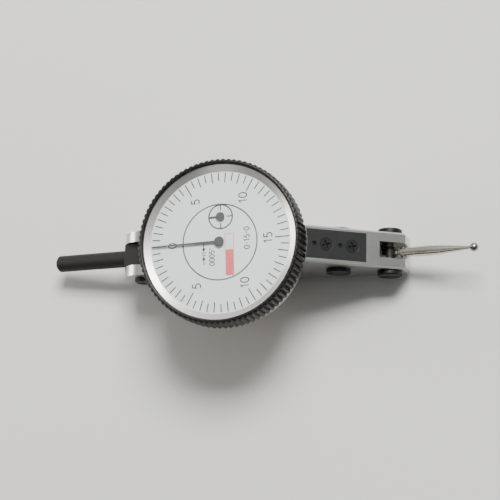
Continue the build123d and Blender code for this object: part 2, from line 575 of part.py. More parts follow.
def bezel():
    """Knurled ring, crystal, gasket and the bright inner ring."""
    pitch = 2 * pi / BEZEL_TEETH
    points = []
    for tooth in range(BEZEL_TEETH):
        for share, radius in ((-0.30, BEZEL_CREST_R), (0.0, BEZEL_CREST_R + 0.03), (0.30, BEZEL_CREST_R),
                              (0.44, BEZEL_ROOT_R), (0.56, BEZEL_ROOT_R)):
            angle = (tooth + share) * pitch
            points.append((radius * cos(angle), radius * sin(angle)))
    face = Face(Wire(Polyline(*[(x, y, BEZEL_FOOT_Z) for x, y in points], close=True).edges()))
    grip = extrude(face, amount=BEZEL_TOP_Z - BEZEL_FOOT_Z, dir=(0, 0, 1))
    low = DIAL_Z - DIAL_THICKNESS
    seat = CRYSTAL_Z[0] - 0.14
    envelope = lathe_z([
        (BEZEL_BORE_R, BEZEL_FOOT_Z), (18.6, BEZEL_FOOT_Z), (19.1, BEZEL_FOOT_Z + 0.5), (19.1, 24.7),
        (18.55, 25.35), (18.35, BEZEL_TOP_Z), (LIP_R + 0.1, BEZEL_TOP_Z), (LIP_R, BEZEL_TOP_Z - 0.1),
        (LIP_R, CRYSTAL_Z[1] + 0.02), (CRYSTAL_R + 0.05, CRYSTAL_Z[1] + 0.02), (CRYSTAL_R + 0.05, seat),
        (CRYSTAL_R - 0.05, seat), (CRYSTAL_R - 0.05, low), (BEZEL_BORE_R, low)])
    keep("bezel_ring", grip & envelope)
    keep("crystal", rod_z(CRYSTAL_R, *CRYSTAL_Z))
    keep("crystal_gasket", ring_z(CRYSTAL_R, 17.75, CRYSTAL_Z[0] - 0.12, CRYSTAL_Z[0]))
    keep("bright_inner_ring", lathe_z([(CRYSTAL_R - 0.1, DIAL_Z), (CRYSTAL_R - 0.1, seat), (17.72, seat),
                                       (16.35, DIAL_Z + 0.15), (16.35, DIAL_Z)]))


def build():
    body_frame()
    nose_plate()
    bearing_caps("segment_bearing_caps", SEGMENT_PIVOT, CAP_R, 0.9)
    bearing_caps("crown_bearing_caps", CROWN_PIVOT, 2.4, 0.5)
    side_screws("contact_pivot_screws", CONTACT_PIVOT, BODY_HALF_WIDTH, FRONT_SLOT_HALF,
                PIVOT_SHANK_R, JOURNAL_R, 0.06, 1.3)
    side_screws("stem_pivot_screws", STEM_PIVOT, REAR_FORK_HALF, REAR_SLOT_HALF,
                STEM_JOURNAL_R, STEM_JOURNAL_R, 0.3, 1.0)
    washers("contact_washers", CONTACT_PIVOT, JOURNAL_R + 0.03, HUB_R,
            CHEEK[1] + 0.04, FRONT_SLOT_HALF - 0.03)
    measuring_lever()
    contact()
    stem()
    gear_segment()
    crown_set()
    centre_set()
    counter_set()
    dial_pan()
    movement()
    dial()
    bezel()


build()
os.makedirs("parts", exist_ok=True)
for node, shape in PARTS.items():
    export_step(shape, "parts/" + node + ".step")
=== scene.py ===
import math

import bmesh
import bpy
from bpy.props import FloatProperty, IntProperty, PointerProperty, StringProperty
from mathutils import Matrix, Vector


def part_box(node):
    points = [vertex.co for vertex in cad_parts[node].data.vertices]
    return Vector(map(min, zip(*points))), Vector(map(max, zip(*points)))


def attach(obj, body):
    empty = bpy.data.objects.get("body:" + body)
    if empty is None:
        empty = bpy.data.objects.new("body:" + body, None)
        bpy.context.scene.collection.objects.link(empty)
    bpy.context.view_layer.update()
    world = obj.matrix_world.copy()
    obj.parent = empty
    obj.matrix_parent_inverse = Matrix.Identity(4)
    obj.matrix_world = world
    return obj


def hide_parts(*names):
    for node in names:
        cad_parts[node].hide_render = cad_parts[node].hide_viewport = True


bl_info = {
    "name": "Lever dial indicator",
    "version": (1, 0, 0),
    "blender": (4, 5, 0),
    "location": "View3D > Sidebar > Indicator",
    "description": "Dial print, knurled bezel, finishes and stage of a lever dial indicator",
    "category": "Object",
}

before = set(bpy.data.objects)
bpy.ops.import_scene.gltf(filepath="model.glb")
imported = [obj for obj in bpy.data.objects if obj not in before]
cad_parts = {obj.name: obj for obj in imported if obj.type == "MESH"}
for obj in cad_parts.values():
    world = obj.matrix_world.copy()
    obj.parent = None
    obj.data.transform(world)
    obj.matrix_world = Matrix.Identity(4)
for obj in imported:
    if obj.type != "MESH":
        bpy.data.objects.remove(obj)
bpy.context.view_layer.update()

MM = 0.001
ZERO_TURN = math.radians(183.0)          # where the scale's zero stands, from +X
DIAL_FACE_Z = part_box("dial_scale_ring")[1].z
CENTRE_FACE_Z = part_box("dial_centre_disc")[1].z
BEZEL_LOW, BEZEL_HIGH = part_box("bezel_ring")
COUNTER_LOW, COUNTER_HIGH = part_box("counter_arbor")
COUNTER_AT = (COUNTER_LOW + COUNTER_HIGH) / 2
BEZEL_CREST = 19.0 * MM                  # radius of the knurl's crests
BEZEL_BORE = 17.5 * MM
BEZEL_LIP = 17.9 * MM                    # the opening over the bright ring
CRYSTAL_SEAT = 18.15 * MM                # the groove under the lip
RING_SEAT = 18.05 * MM
KNURL_INNER = 18.2 * MM                  # nothing nearer the axis than this is knurled
STEPS_PER_KNURL = 12
ACRYLIC_IOR = 1.49
RUBY_IOR = 1.77

# The camera stands where the photograph was taken from, in the part's own frame.
CAMERA_AT = Vector((96.7, -68.6, 324.5)) * MM
CAMERA_UP = Vector((0.003, 0.994, 0.105))
TARGET = Vector((3.6, 0.5, 12.0)) * MM
FOCAL_LENGTH = 104.0
NEAREST_SEEN = 0.01
FLOOR_HALF_WIDTH = 1.5
FLOOR_UNDERSIDE = -0.01
FLOOR_GAP = 0.02 * MM

# Each light: name, place, size, watts and colour.
LIGHTS = (
    ("key_light", (0.20, 0.46, 0.74), (0.40, 0.30), 15.0, "#FFFEFA"),
    ("side_light", (-0.60, 0.10, 0.22), (0.25, 0.25), 2.0, "#FFF6E8"),
    ("near_window", (-0.26, -0.64, 0.58), (0.36, 0.30), 0.3, "#FFFBF2"),
)
LIGHT_UP = Vector((0.1, 1, 0))
# The room is bright in this direction and dark the other way, on the near side.
SKY_LEAN = (-0.10, 0.62, 0.78)
SKY_STOPS = [(0.0, "#2A2C2E"), (0.25, "#55585A"), (0.6, "#C9CBCC"), (0.95, "#F6F7F8")]
SKY_STRENGTH = 0.6


# ---- small helpers ----------------------------------------------------------------------------


def linear(hex_code):
    """An sRGB hex colour as linear red, green, blue and alpha."""
    values = [int(hex_code[i:i + 2], 16) / 255 for i in (1, 3, 5)]
    rgb = [v / 12.92 if v <= 0.04045 else ((v + 0.055) / 1.055) ** 2.4 for v in values]
    return rgb + [1.0]


def add_node(tree, kind, settings=None, links=None):
    """Adds a node with its attributes and input values, its inputs linked from other nodes."""
    node = tree.nodes.new(kind)
    for key, value in (settings or {}).items():
        if isinstance(key, int) or key in node.inputs:
            node.inputs[key].default_value = value
        else:
            setattr(node, key, value)
    for key, (source, output) in (links or {}).items():
        tree.links.new(source.outputs[output], node.inputs[key])
    return node


def new_material(name):
    """A material with its node tree, its shader, linked to the output, and its coordinates."""
    material = bpy.data.materials.new(name)
    material.use_nodes = True
    tree = material.node_tree
    tree.nodes.clear()
    shader = add_node(tree, "ShaderNodeBsdfPrincipled")
    add_node(tree, "ShaderNodeOutputMaterial", links={"Surface": (shader, "BSDF")})
    place = add_node(tree, "ShaderNodeTexCoord")
    return material, tree, shader, place


def ramp_colours(node, stops):
    """Sets a colour ramp's stops, as (position, hex colour) pairs."""
    elements = node.color_ramp.elements
    while len(elements) < len(stops):
        elements.new(0.5)
    for element, (position, colour) in zip(elements, stops):
        element.position = position
        element.color = linear(colour)


def grain_of(tree, place, size, detail=2.0):
    """Even noise on the object itself; size is its broadest feature."""
    return add_node(tree, "ShaderNodeTexNoise", {"Scale": 1 / size, "Detail": detail},
                    {"Vector": (place, "Object")})


def streaks_of(tree, place, sizes, detail):
    """Drawn-out noise; sizes are its broadest feature along X, Y and Z."""
    stretch = add_node(tree, "ShaderNodeMapping", {"Scale": tuple(1 / size for size in sizes)},
                       {"Vector": (place, "Object")})
    return add_node(tree, "ShaderNodeTexNoise", {"Scale": 1.0, "Detail": detail},
                    {"Vector": (stretch, "Vector")})


def axis_radius(tree, place):
    """How far a point is from the dial's axis."""
    apart = add_node(tree, "ShaderNodeSeparateXYZ", links={"Vector": (place, "Object")})
    flat = add_node(tree, "ShaderNodeCombineXYZ", links={"X": (apart, "X"), "Y": (apart, "Y")})
    return add_node(tree, "ShaderNodeVectorMath", {"operation": "LENGTH"}, {0: (flat, "Vector")})


def tone_from(tree, grain, first, last, start=0.3, end=0.7, output="Fac"):
    """A colour that runs from the first to the last hex colour with the grain."""
    tone = add_node(tree, "ShaderNodeValToRGB", links={"Fac": (grain, output)})
    ramp_colours(tone, [(start, first), (end, last)])
    return tone


def rough_from(tree, grain, low, high):
    """A roughness between two values that follows the grain."""
    return add_node(tree, "ShaderNodeMapRange", {"To Min": low, "To Max": high},
                    {"Value": (grain, "Fac")})


def bump_from(tree, grain, strength, depth, output="Fac"):
    """Bump that follows the grain, to a depth."""
    return add_node(tree, "ShaderNodeBump", {"Strength": strength, "Distance": depth},
                    {"Height": (grain, output)})


def wire(tree, shader, tone=None, rough=None, bump=None, **values):
    """Links a finish's nodes to its shader, and sets its plain inputs: Metallic=1.0 and so on."""
    for node, output, socket in ((tone, "Color", "Base Color"), (rough, "Result", "Roughness"),
                                 (bump, "Normal", "Normal")):
        if node:
            tree.links.new(node.outputs[output], shader.inputs[socket])
    for socket, value in values.items():
        shader.inputs[socket.replace("_", " ")].default_value = value


def mesh_object(name, bm, material, smooth_angle=35.0):
    """Turns a bmesh into a finished object with its material and smooth shading up to an angle."""
    bmesh.ops.recalc_face_normals(bm, faces=bm.faces)
    mesh = bpy.data.meshes.new(name)
    limit = math.radians(smooth_angle)
    for face in bm.faces:
        face.smooth = True
    for edge in bm.edges:
        edge.smooth = len(edge.link_faces) == 2 and edge.calc_face_angle(math.pi) < limit
    bm.to_mesh(mesh)
    bm.free()
    obj = bpy.data.objects.new(name, mesh)
    bpy.context.scene.collection.objects.link(obj)
    mesh.materials.append(material)
    return obj


def lathe(bm, profile, segments, radius_of=None):
    """Revolves a closed (r, z) outline around Z; radius_of(r, z, angle) may shape it."""
    rings = []
    for step in range(segments):
        angle = 2 * math.pi * step / segments
        ring = []
        for r, z in profile:
            radius = radius_of(r, z, angle) if radius_of else r
            ring.append(bm.verts.new((radius * math.cos(angle), radius * math.sin(angle), z)))
        rings.append(ring)
    count = len(profile)
    for step, ring in enumerate(rings):
        following = rings[(step + 1) % segments]
        for i in range(count):
            j = (i + 1) % count
            bm.faces.new((ring[i], following[i], following[j], ring[j]))


def prism(bm, outline, low, high):
    """Closed slab over a flat outline of (x, y) points."""
    bottom = [bm.verts.new((x, y, low)) for x, y in outline]
    top = [bm.verts.new((x, y, high)) for x, y in outline]
    bm.faces.new(bottom[::-1])
    bm.faces.new(top)
    for i in range(len(outline)):
        j = (i + 1) % len(outline)
        bm.faces.new((bottom[i], bottom[j], top[j], top[i]))


def ribbon(bm, points, width, low, high, closed=False):
    """Closed strip of even width along a flat run of (x, y) points, with mitred corners."""
    count = len(points)
    left, right = [], []
    for i in range(count):
        before = Vector(points[i - 1]) if closed or i else None
        here = Vector(points[i])
        after = Vector(points[(i + 1) % count]) if closed or i < count - 1 else None
        ways = [(here - before).normalized()] if before is not None else []
        ways += [(after - here).normalized()] if after is not None else []
        way = sum(ways, Vector((0, 0))).normalized()
        spread = width / 2 / max(0.5, way.dot(ways[0]))
        side = Vector((-way.y, way.x)) * spread
        left.append(here + side)
        right.append(here - side)
    rows = [[bm.verts.new((p.x, p.y, z)) for p in line] for line, z in
            ((left, low), (left, high), (right, high), (right, low))]
    last = count if closed else count - 1
    for i in range(last):
        j = (i + 1) % count
        for a in range(4):
            b = (a + 1) % 4
            bm.faces.new((rows[a][i], rows[b][i], rows[b][j], rows[a][j]))
    if not closed:
        bm.faces.new([row[0] for row in rows])
        bm.faces.new([row[-1] for row in rows[::-1]])


def arc(centre, rx, ry, start, end, steps):
    """Points along an elliptical arc, in degrees."""
    run = []
    for step in range(steps + 1):
        angle = math.radians(start + (end - start) * step / steps)
        run.append((centre[0] + rx * math.cos(angle), centre[1] + ry * math.sin(angle)))
    return run


# ---- finishes ---------------------------------------------------------------------------------


def satin_chrome_plate(colours):
    """Steel, fine ground, bead blasted and chromed: soft grey with no sharp reflection."""
    material, tree, shader, place = new_material("satin_chrome_plate")
    # broad handling marks, about 5 mm across: a slight change of grey
    marks = grain_of(tree, place, 5 * MM, 4.0)
    # bead-blasted grain of about 0.15 mm, drawn three times coarser so that it shows
    grain = grain_of(tree, place, 0.45 * MM, 3.0)
    wire(tree, shader, tone_from(tree, marks, colours.chrome_shade, colours.chrome),
         rough_from(tree, grain, 0.24, 0.36), bump_from(tree, grain, 0.25, 0.02 * MM),
         Metallic=1.0)
    return material


def black_oxide_steel(name, light, dark):
    """Milled steel, black oxide dipped and oiled: near black with a dull sheen."""
    material, tree, shader, place = new_material(name)
    # milling lines 0.1 mm apart along X, drawn twice as coarse; they run along Y
    milled = streaks_of(tree, place, (0.2 * MM, 6 * MM, 0.2 * MM), 3.0)
    wire(tree, shader, tone_from(tree, milled, dark, light, 0.25, 0.75),
         rough_from(tree, milled, 0.38, 0.52), bump_from(tree, milled, 0.15, 0.01 * MM),
         Specular_IOR_Level=0.3)
    return material


def coated_stem_steel(colours):
    """Turned steel with a charcoal phosphate coat: flat dark grey, faint turning rings."""
    material, tree, shader, place = new_material("coated_stem_steel")
    turned = streaks_of(tree, place, (0.25 * MM, 9 * MM, 9 * MM), 2.0)
    grain = grain_of(tree, place, 0.3 * MM, 4.0)
    both = add_node(tree, "ShaderNodeMath", {"operation": "ADD"},
                    {0: (turned, "Fac"), 1: (grain, "Fac")})
    wire(tree, shader, tone_from(tree, grain, colours.stem_shade, colours.stem),
         bump=bump_from(tree, both, 0.25, 0.015 * MM, "Value"),
         Specular_IOR_Level=0.25, Roughness=0.55)
    return material


def black_anodised_knurl(colours):
    """Knurled aluminium, black anodised: a dense black whose crests are rubbed a little lighter."""
    material, tree, shader, place = new_material("black_anodised_knurl")
    # only the outermost quarter millimetre is rubbed
    crest = add_node(tree, "ShaderNodeMapRange",
                     {"From Min": BEZEL_HIGH.x - 0.25 * MM, "From Max": BEZEL_HIGH.x},
                     {"Value": (axis_radius(tree, place), "Value")})
    grain = grain_of(tree, place, 0.35 * MM, 4.0)
    rubbed = add_node(tree, "ShaderNodeMath", {"operation": "MULTIPLY"},
                      {0: (crest, "Result"), 1: (grain, "Fac")})
    wire(tree, shader,
         tone_from(tree, rubbed, colours.anodise, colours.anodise_worn, 0.0, 1.0, "Value"),
         rough_from(tree, grain, 0.32, 0.46), bump_from(tree, grain, 0.2, 0.015 * MM),
         Specular_IOR_Level=0.3)
    return material


def turned_bright_metal(name, colour, roughness, ring_pitch):
    """Metal faced on a lathe around the dial's axis: fine rings that soften its reflections."""
    material, tree, shader, place = new_material(name)
    rings = add_node(tree, "ShaderNodeTexNoise",
                     {"noise_dimensions": "1D", "Scale": 1 / ring_pitch, "Detail": 2.0},
                     {"W": (axis_radius(tree, place), "Value")})
    wire(tree, shader, None, rough_from(tree, rings, roughness - 0.06, roughness + 0.08),
         bump_from(tree, rings, 0.2, 0.01 * MM), Base_Color=linear(colour), Metallic=1.0)
    return material


def fine_turned_steel(colours):
    """Stainless steel turned along the contact's length: bright, with rings across it."""
    material, tree, shader, place = new_material("fine_turned_steel")
    turned = streaks_of(tree, place, (0.12 * MM, 8 * MM, 8 * MM), 3.0)
    wire(tree, shader, tone_from(tree, turned, colours.steel_shade, colours.steel, 0.2, 0.8),
         rough_from(tree, turned, 0.14, 0.24), bump_from(tree, turned, 0.1, 0.003 * MM),
         Metallic=1.0)
    return material


def plain_metal(name, light, dark, roughness, grain_size):
    """Small metal part, tumbled or polished: its tone and gloss vary over a fine grain."""
    material, tree, shader, place = new_material(name)
    grain = grain_of(tree, place, grain_size, 4.0)
    wire(tree, shader, tone_from(tree, grain, dark, light),
         rough_from(tree, grain, roughness * 0.8, roughness * 1.3), Metallic=1.0)
    return material


def satin_enamel(colours):
    """Brass disc sprayed with off-white satin enamel and baked: even, with a faint orange peel."""
    material, tree, shader, place = new_material("satin_enamel")
    peel = grain_of(tree, place, 0.6 * MM)
    cloud = grain_of(tree, place, 9 * MM)
    wire(tree, shader, tone_from(tree, cloud, colours.enamel_shade, colours.enamel),
         bump=bump_from(tree, peel, 0.08, 0.01 * MM), Roughness=0.42)
    return material


def printed_ink(name, colour, faded):
    """Pad-printed ink: matt, a little uneven in how dense it lies."""
    material, tree, shader, place = new_material(name)
    dots = grain_of(tree, place, 0.25 * MM, 3.0)
    wire(tree, shader, tone_from(tree, dots, colour, faded, 0.35, 0.75), Roughness=0.6)
    return material


def painted_hand(colours):
    """Stamped steel hand, sprayed satin grey-black."""
    material, tree, shader, place = new_material("painted_hand")
    grain = grain_of(tree, place, 0.2 * MM, 3.0)
    wire(tree, shader, tone_from(tree, grain, colours.hand_shade, colours.hand),
         bump=bump_from(tree, grain, 0.1, 0.01 * MM), Roughness=0.4)
    return material


def clear_acrylic(colours):
    """Moulded acrylic window, polished: clear, seen by its gloss, which grows towards the edge."""
    material, tree, shader, place = new_material("clear_acrylic")
    # the same clearness from within as from outside
    side = add_node(tree, "ShaderNodeNewGeometry")
    bend = add_node(tree, "ShaderNodeMapRange", {"To Min": ACRYLIC_IOR, "To Max": 1 / ACRYLIC_IOR},
                    {"Value": (side, "Backfacing")})
    gloss = add_node(tree, "ShaderNodeFresnel", links={"IOR": (bend, "Result")})
    # a haze of handling, in patches about 1 mm across
    haze = add_node(tree, "ShaderNodeTexNoise",
                    {"Scale": 1 / (1.2 * MM), "Detail": 6.0, "Distortion": 1.5},
                    {"Vector": (place, "Object")})
    wire(tree, shader, rough=rough_from(tree, haze, 0.02, 0.10),
         Base_Color=linear(colours.acrylic), Metallic=1.0)
    tree.links.new(gloss.outputs["Fac"], shader.inputs["Alpha"])
    return material


def moulded_rubber(colours):
    """Moulded nitrile rubber seal: matt black."""
    material, tree, shader, place = new_material("moulded_rubber")
    grain = grain_of(tree, place, 0.3 * MM)
    wire(tree, shader, bump=bump_from(tree, grain, 0.2, 0.02 * MM),
         Base_Color=linear(colours.rubber), Roughness=0.7)
    return material


def polished_ruby(colours):
    """Synthetic ruby bearing, polished: deep red and glassy."""
    material, tree, shader, place = new_material("polished_ruby")
    veil = grain_of(tree, place, 0.5 * MM)
    wire(tree, shader, tone_from(tree, veil, colours.ruby_shade, colours.ruby),
         Roughness=0.08, IOR=RUBY_IOR)
    return material


def matt_board(colours):
    """Pale card that the indicator lies on."""
    material, tree, shader, place = new_material("matt_board")
    fibre = grain_of(tree, place, 1.5 * MM, 4.0)
    wire(tree, shader, bump=bump_from(tree, fibre, 0.05, 0.05 * MM),
         Base_Color=linear(colours.board), Roughness=0.85)
    return material


MAKERS = {
    "satin_chrome_plate": satin_chrome_plate,
    "black_oxide_steel": lambda c: black_oxide_steel(
        "black_oxide_steel", c.oxide, c.oxide_shade),
    "oiled_black_screws": lambda c: black_oxide_steel(
        "oiled_black_screws", c.screw, c.screw_shade),
    "coated_stem_steel": coated_stem_steel,
    "black_anodised_knurl": black_anodised_knurl,
    "bright_turned_ring": lambda c: turned_bright_metal(
        "bright_turned_ring", c.bright_ring, 0.30, 0.08 * MM),
    "fine_turned_steel": fine_turned_steel,
    "lapped_carbide": lambda c: plain_metal(
        "lapped_carbide", c.carbide, c.carbide_shade, 0.24, 0.4 * MM),
    "rolled_phosphor_bronze": lambda c: plain_metal(
        "rolled_phosphor_bronze", c.bronze, c.bronze_shade, 0.3, 0.3 * MM),
    "milled_brass": lambda c: plain_metal("milled_brass", c.brass, c.brass_shade, 0.32, 0.5 * MM),
    "satin_nickelled_brass": lambda c: turned_bright_metal(
        "satin_nickelled_brass", c.nickel, 0.36, 0.15 * MM),
    "polished_steel": lambda c: plain_metal("polished_steel", c.steel, c.steel_shade, 0.2, 0.5 * MM),
    "satin_enamel": satin_enamel,
    "black_ink": lambda c: printed_ink("black_ink", c.ink, c.ink_faded),
    "red_ink": lambda c: printed_ink("red_ink", c.red_ink, c.red_faded),
    "painted_hand": painted_hand,
    "clear_acrylic": clear_acrylic,
    "moulded_rubber": moulded_rubber,
    "polished_ruby": polished_ruby,
    "matt_board": matt_board,
}


def finish(name):
    """The material of that name, made the first time it is asked for."""
    found = bpy.data.materials.get(name)
    return found or MAKERS[name](bpy.context.scene.indicator_colours)


def dress(material_name, *nodes):
    """Gives CAD nodes a finish."""
    for name in nodes:
        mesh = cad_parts[name].data
        mesh.materials.clear()
        mesh.materials.append(finish(material_name))


# ---- settings ---------------------------------------------------------------------------------


def colour_setting(name, default):
    description = "sRGB hex colour of the " + name.lower()
    return StringProperty(name=name, description=description, default=default)


def size_setting(name, description, default):
    return FloatProperty(name=name, description=description, default=default * MM, unit="LENGTH",
                         precision=5)


class IndicatorColours(bpy.types.PropertyGroup):
    chrome: colour_setting("Satin chrome", "#CACAC8")
    chrome_shade: colour_setting("Satin chrome shade", "#C0C0BE")
    oxide: colour_setting("Black oxide", "#222424")
    oxide_shade: colour_setting("Black oxide shade", "#1C1E1E")
    screw: colour_setting("Oiled screws", "#151616")
    screw_shade: colour_setting("Oiled screws shade", "#0E0F0F")
    stem: colour_setting("Stem coat", "#232322")
    stem_shade: colour_setting("Stem coat shade", "#1B1B1A")
    anodise: colour_setting("Black anodising", "#161615")
    anodise_worn: colour_setting("Rubbed anodising", "#262623")
    bright_ring: colour_setting("Bright ring", "#F2EFE8")
    steel: colour_setting("Turned steel", "#DEDACE")
    steel_shade: colour_setting("Turned steel shade", "#C6C1B3")
    carbide: colour_setting("Carbide", "#A8A7A6")
    carbide_shade: colour_setting("Carbide shade", "#8A8988")
    bronze: colour_setting("Phosphor bronze", "#8C8272")
    bronze_shade: colour_setting("Phosphor bronze shade", "#6C6252")
    brass: colour_setting("Brass", "#CDB068")
    brass_shade: colour_setting("Brass shade", "#A88A48")
    nickel: colour_setting("Satin nickel", "#B9B7B0")
    enamel: colour_setting("Dial enamel", "#E7EBEE")
    enamel_shade: colour_setting("Dial enamel shade", "#E1E5E8")
    ink: colour_setting("Black ink", "#161718")
    ink_faded: colour_setting("Thin black ink", "#2E2F30")
    red_ink: colour_setting("Red ink", "#D8505A")
    red_faded: colour_setting("Thin red ink", "#E07680")
    hand: colour_setting("Hands", "#4C4C4C")
    hand_shade: colour_setting("Hands shade", "#404040")
    acrylic: colour_setting("Acrylic", "#FFFFFF")
    rubber: colour_setting("Rubber", "#1E1E1E")
    ruby: colour_setting("Ruby", "#B01230")
    ruby_shade: colour_setting("Ruby shade", "#7A0A20")
    board: colour_setting("Board", "#D6D6D4")


class IndicatorSizes(bpy.types.PropertyGroup):
    divisions: IntProperty(name="Divisions", description="Graduations around the scale", default=60)
    tick_outer: size_setting("Tick outer radius", "Outer end of every graduation", 16.05)
    tick_short: size_setting("Short tick", "Inner end of a half graduation", 14.15)
    tick_medium: size_setting("Medium tick", "Inner end of a whole graduation", 13.7)
    tick_long: size_setting("Long tick", "Inner end of every fifth graduation", 12.8)
    tick_width: size_setting("Tick width", "Printed width of a graduation", 0.26)
    numeral_radius: size_setting("Numeral radius", "Middle of the numerals", 11.2)
    numeral_height: size_setting("Numeral height", "Height of a numeral", 1.9)
    numeral_stroke: size_setting("Numeral stroke", "Line width of a numeral", 0.26)
    ink_thickness: size_setting("Ink thickness", "How far print stands above the dial", 0.012)
    inner_circle: size_setting("Inner circle", "Radius of the printed inner circle", 8.62)
    subdial_radius: size_setting("Counter circle", "Radius of the counter's printed circle", 2.76)
    knurl_depth: size_setting("Knurl depth", "Depth of the bezel's grooves", 0.62)
    knurl_count: IntProperty(name="Knurls", description="Teeth around the bezel", default=90)


# ---- digits -----------------------------------------------------------------------------------

# Each digit is its width and its strokes, as (points, closed), in a cell 1 high whose lower left
# corner is the origin.
DIGITS = {
    "0": (0.58, [(arc((0.29, 0.5), 0.29, 0.5, 0, 345, 23), True)]),
    "1": (0.42, [([(0.02, 0.72), (0.27, 1.0), (0.27, 0.0)], False)]),
    "5": (0.58, [([(0.53, 1.0), (0.13, 1.0), (0.07, 0.56)]
                  + arc((0.27, 0.31), 0.29, 0.31, 120, -140, 16), False)]),
    "-": (0.4, [([(0.04, 0.5), (0.36, 0.5)], False)]),
    ".": (0.22, [([(0.04, 0.0), (0.04, 0.14)], False)]),
    '"': (0.34, [([(0.06, 1.0), (0.06, 0.74)], False), ([(0.22, 1.0), (0.22, 0.74)], False)]),
}
DIGIT_GAP = 0.2

# Print on the fixed disc, in mm, ahead of the dial's middle towards zero and to its right.
CIRCLE_LINE, COUNTER_LINE = 0.2, 0.3
QUARTER_MARK, QUARTER_MARK_WIDTH = (0.05, 1.3), 0.26
PRINTED_VALUES = (('.0005"', (1.9, -3.5), 1.15, 0.2), ("0-15-0", (-6.3, 0.4), 1.25, 0.21))
ARROW_ROW, ARROW_MIDDLE = 3.8, -2.55
ARROW_TIP, ARROW_BASE, ARROW_TAIL, ARROW_HALF_WIDTH = 0.45, 1.35, 1.8, 0.42
ARROW_LINE = 0.2
ARROW_BAR, ARROW_BAR_AT, ARROW_BAR_LINE = (4.3, 3.3), 0.3, 0.18
BADGE_NEAR, BADGE_FAR = -1.25, -3.2
BADGE_LEFT, BADGE_SPLIT, BADGE_RIGHT = -7.8, -1.9, 1.7
BADGE_LINE = 0.12


def write_digits(bm, text, centre, height, stroke, low, high):
    """Prints a number whose middle is at centre; its top is turned to the stem's side."""
    widths = [DIGITS[c][0] for c in text]
    total = sum(widths) + DIGIT_GAP * (len(text) - 1)
    up = Vector((math.cos(ZERO_TURN), math.sin(ZERO_TURN)))
    right = Vector((up.y, -up.x))
    left_edge = -total / 2
    for character, width in zip(text, widths):
        for points, closed in DIGITS[character][1]:
            run = [Vector(centre) + height * (right * (left_edge + x) + up * (y - 0.5))
                   for x, y in points]
            ribbon(bm, [(p.x, p.y) for p in run], stroke, low, high, closed)
        left_edge += width + DIGIT_GAP


def polar(radius, angle):
    """The (x, y) point at a radius and angle."""
    return (radius * math.cos(angle), radius * math.sin(angle))


def on_dial(forward, rightward):
    """A point of the dial, from its middle: forward towards zero, rightward of upright print."""
    up = Vector((math.cos(ZERO_TURN), math.sin(ZERO_TURN)))
    right = Vector((up.y, -up.x))
    point = up * forward + right * rightward
    return (point.x, point.y)


# ---- operators --------------------------------------------------------------------------------


class IndicatorOperator:
    """What every builder of this add-on shares."""
    bl_options = {"REGISTER", "UNDO"}


class INDICATOR_OT_scale(IndicatorOperator, bpy.types.Operator):
    """Print the graduations and numerals on the turning scale ring"""
    bl_idname = "indicator.scale"
    bl_label = "Scale print"

    def execute(self, context):
        sizes = context.scene.indicator_sizes
        low, high = DIAL_FACE_Z, DIAL_FACE_Z + sizes.ink_thickness
        ticks = bmesh.new()
        for i in range(sizes.divisions):
            angle = ZERO_TURN + 2 * math.pi * i / sizes.divisions
            inner = sizes.tick_short if i % 2 else sizes.tick_medium
            inner = sizes.tick_long if i % 10 == 0 else inner
            ribbon(ticks, [polar(inner, angle), polar(sizes.tick_outer, angle)],
                   sizes.tick_width, low, high)
        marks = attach(mesh_object("scale_graduations", ticks, finish("black_ink")), "bezel")
        numbers = bmesh.new()
        for turn, text in enumerate(("0", "5", "10", "15", "10", "5")):
            centre = polar(sizes.numeral_radius, ZERO_TURN + 2 * math.pi * turn / 6)
            write_digits(numbers, text, centre, sizes.numeral_height, sizes.numeral_stroke,
                         low, high)
        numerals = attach(mesh_object("scale_numerals", numbers, finish("black_ink")), "bezel")
        return {"FINISHED"}


